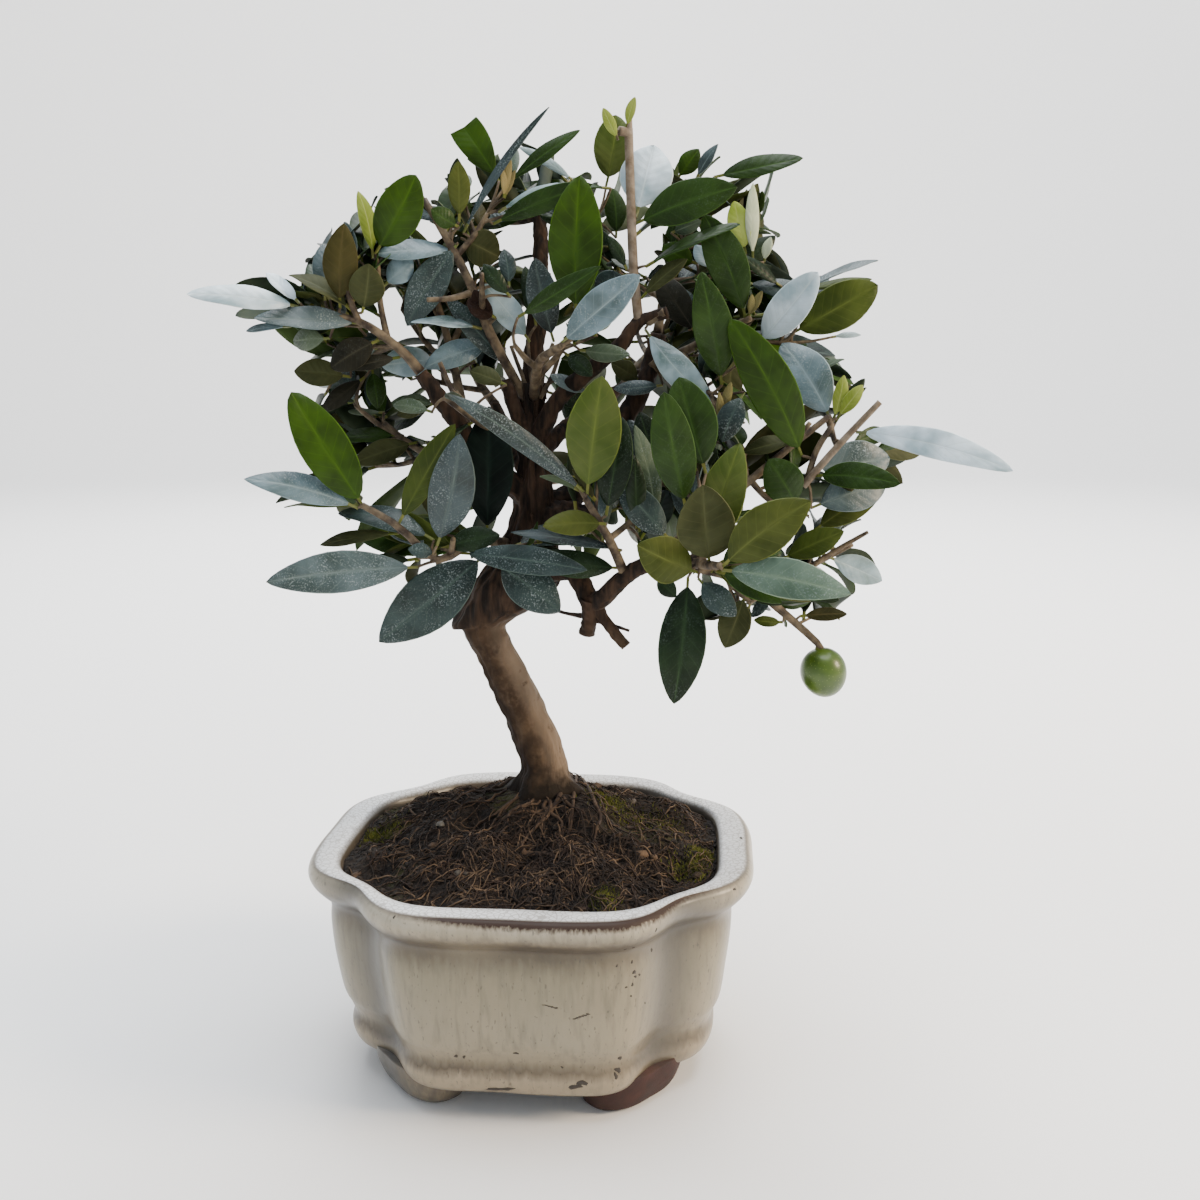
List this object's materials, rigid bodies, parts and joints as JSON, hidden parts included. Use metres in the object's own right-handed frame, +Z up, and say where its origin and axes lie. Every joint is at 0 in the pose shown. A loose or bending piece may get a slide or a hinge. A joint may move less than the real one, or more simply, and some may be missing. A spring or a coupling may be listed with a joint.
{
  "type": "potted bonsai olive tree",
  "caption": "Small leaning olive tree grown as a bonsai, with a rounded crown of long narrow leaves and a hanging olive, in a glazed ceramic pot with pressed-in corners and bracket feet.",
  "frame": {"origin": "under the middle of the whole plant and pot, at the level of the feet's soles", "axes": "+Z up along the trunk's growth, +X towards the side where the olive hangs, -Y towards the front long side of the pot"},
  "size_m": [0.2422, 0.205, 0.3243],
  "materials": {
    "pot": "glossy",
    "soil": "matte",
    "bark": "rough",
    "leaves": "satin"
  },
  "bodies": {
    "root": {"pot": "pot", "soil": "soil", "trunk": "bark", "bough_leader": "bark", "bough_left": "bark", "bough_right": "bark", "bough_elbow": "bark", "bough_low_right": "bark", "bough_back_left": "bark", "bough_back_right": "bark", "bough_back_low": "bark", "foliage_far_left": "leaves", "foliage_upper_left": "leaves", "foliage_mid_left": "leaves", "foliage_low_left": "leaves", "foliage_front_left": "leaves", "foliage_top_left": "leaves", "foliage_front_top": "leaves", "foliage_leader_top": "leaves", "foliage_elbow_top": "leaves", "foliage_right_top": "leaves", "foliage_right_mid": "leaves", "foliage_far_right": "leaves", "foliage_whorl": "leaves", "foliage_olive_twig": "leaves", "foliage_front_mid": "leaves", "foliage_inner_right": "leaves", "foliage_back_left": "leaves", "foliage_back_right": "leaves", "foliage_back_low": "leaves"}
  },
  "joints": []
}
